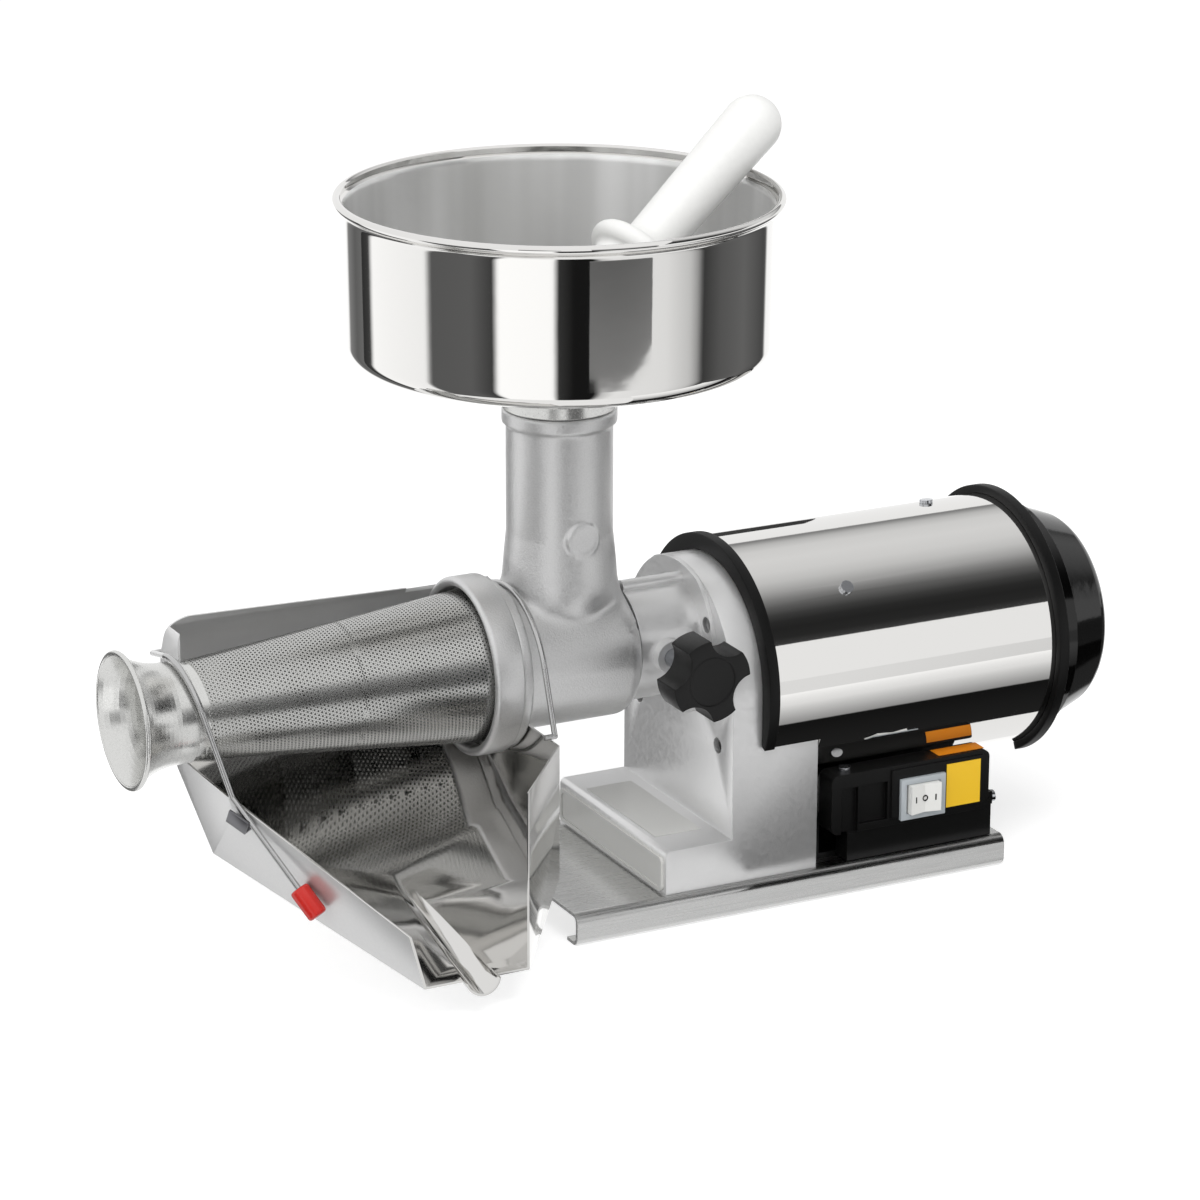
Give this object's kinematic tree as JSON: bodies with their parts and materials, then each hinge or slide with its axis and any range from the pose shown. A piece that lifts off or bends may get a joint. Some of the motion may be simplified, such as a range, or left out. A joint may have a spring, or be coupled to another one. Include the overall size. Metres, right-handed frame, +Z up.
{
  "type": "electric tomato strainer",
  "caption": "Electric tomato strainer with a steel hopper, cast strainer body, perforated cone, auger, juice tray, geared motor, rocker switch and pestle.",
  "frame": {"origin": "bottom centre of the whole machine's bounding box, on the surface it stands on", "axes": "+X from the pulp nozzle to the motor's rear cover, along the auger; +Y away from the clamp knob and the switch; +Z up"},
  "size_m": [0.5534, 0.243, 0.4211],
  "materials": {
    "blasted_aluminium": "bead-blasted raw casting",
    "satin_aluminium": "smooth satin casting",
    "inner_aluminium": "machined casting",
    "mirror_steel": "mirror-polished stainless sheet",
    "brushed_steel": "brushed stainless sheet",
    "perforated_steel": "perforated stainless sheet",
    "polished_steel": "polished stainless",
    "bright_screws": "zinc-plated bright steel",
    "machined_steel": "machined and hardened",
    "bronze": "plain bronze",
    "laminations": "stacked steel sheet",
    "copper_wire": "enamelled copper wire",
    "black_rubber": "soft satin",
    "black_gloss": "gloss moulding",
    "black_matte": "fine-textured moulding",
    "white_food_plastic": "smooth satin moulding",
    "white_switch_plastic": "smooth gloss moulding",
    "grey_clear_plastic": "semi-clear grey moulding",
    "white_label": "bare printed film",
    "yellow_label": "bare film",
    "amber_label": "bare film",
    "red_cap_plastic": "dipped soft plastic"
  },
  "bodies": {
    "machine": {"base_plate": "brushed_steel", "gear_housing": "satin_aluminium", "foot_bolts": "bright_screws", "badge_plate": "white_label", "foot_label": "white_label", "barrel_socket": "satin_aluminium", "shaft_seal": "black_rubber", "motor_screws": "bright_screws", "output_bushes": "bronze", "motor_front_bell": "inner_aluminium", "motor_frame": "brushed_steel", "motor_rear_bell": "inner_aluminium", "stator": "laminations", "windings": "copper_wire", "motor_bearings": "machined_steel", "fan_cover": "black_gloss", "motor_cover": "mirror_steel", "front_edge_trim": "black_rubber", "rear_edge_trim": "black_rubber", "cover_screws": "bright_screws", "switch_box": "black_matte", "switch_box_lid": "black_matte", "lid_screws": "bright_screws", "start_capacitor": "white_switch_plastic", "cable_gland": "black_matte", "rocker_bezel": "grey_clear_plastic", "yellow_label": "yellow_label", "amber_label": "amber_label", "strainer_body": "blasted_aluminium", "strainer_cone": "perforated_steel", "pulp_nozzle": "polished_steel", "juice_tray": "mirror_steel", "bail_eyes": "polished_steel"},
    "screw_drive": {"auger": "white_food_plastic", "output_shaft": "machined_steel", "output_gear": "bronze"},
    "lay_drive": {"lay_shaft": "machined_steel", "lay_gear": "bronze", "lay_pinion": "machined_steel"},
    "rotor_drive": {"rotor": "laminations", "motor_shaft": "machined_steel", "motor_pinion": "machined_steel", "cooling_fan": "black_matte"},
    "switch_rocker": {"rocker": "white_switch_plastic"},
    "clamp_slide": {"clamp_pad": "bronze"},
    "clamp_turn": {"clamp_stud": "machined_steel", "clamp_knob": "black_matte"},
    "hopper": {"hopper": "mirror_steel"},
    "pestle": {"pestle": "white_food_plastic"},
    "front_bail": {"front_bail": "polished_steel", "bail_cap": "red_cap_plastic"},
    "rear_bail": {"rear_bail": "polished_steel"},
    "collar": {"collar": "blasted_aluminium"}
  },
  "joints": [
    {"name": "screw_spin", "type": "hinge", "parent": "machine", "child": "screw_drive", "pos_m": [0, 0.0065, 0.1388], "axis": [1, 0, 0], "continuous": true},
    {"name": "lay_spin", "type": "hinge", "parent": "machine", "child": "lay_drive", "pos_m": [0, 0.03132, 0.12168], "axis": [1, 0, 0], "continuous": true},
    {"name": "rotor_spin", "type": "hinge", "parent": "machine", "child": "rotor_drive", "pos_m": [0, 0.0065, 0.1176], "axis": [1, 0, 0], "continuous": true},
    {"name": "switch_rock", "type": "hinge", "parent": "machine", "child": "switch_rocker", "pos_m": [0.15095, -0.0577, 0.049], "axis": [0, 0, 1], "range_deg": [-9, 9]},
    {"name": "clamp_feed", "type": "slide", "parent": "machine", "child": "clamp_slide", "axis": [0, -1, 0], "range_m": [0, 0.006]},
    {"name": "clamp_screw", "type": "hinge", "parent": "clamp_slide", "child": "clamp_turn", "pos_m": [0.0157, -0.0535, 0.1388], "axis": [0, -1, 0], "range_deg": [0, 1440]},
    {"name": "hopper_lift", "type": "slide", "parent": "machine", "child": "hopper", "axis": [0, 0, 1], "range_m": [0, 0.06]},
    {"name": "pestle_lift", "type": "slide", "parent": "hopper", "child": "pestle", "axis": [0, 0, 1], "range_m": [0, 0.12]},
    {"name": "front_bail_swing", "type": "hinge", "parent": "machine", "child": "front_bail", "pos_m": [-0.22, 0.05905, 0.15288], "axis": [-1, 0, 0], "range_deg": [0, 100]},
    {"name": "rear_bail_swing", "type": "hinge", "parent": "machine", "child": "rear_bail", "pos_m": [-0.075, 0.05905, 0.15288], "axis": [-1, 0, 0], "range_deg": [0, 100]},
    {"name": "collar_turn", "type": "hinge", "parent": "machine", "child": "collar", "pos_m": [-0.082, 0.0065, 0.1388], "axis": [1, 0, 0], "range_deg": [0, 40]}
  ],
  "couplings": [
    {"joint": "lay_spin", "follows": "screw_spin", "ratio": -3},
    {"joint": "rotor_spin", "follows": "screw_spin", "ratio": 12},
    {"joint": "clamp_screw", "follows": "clamp_feed", "rad_per_m": 4188.8}
  ]
}
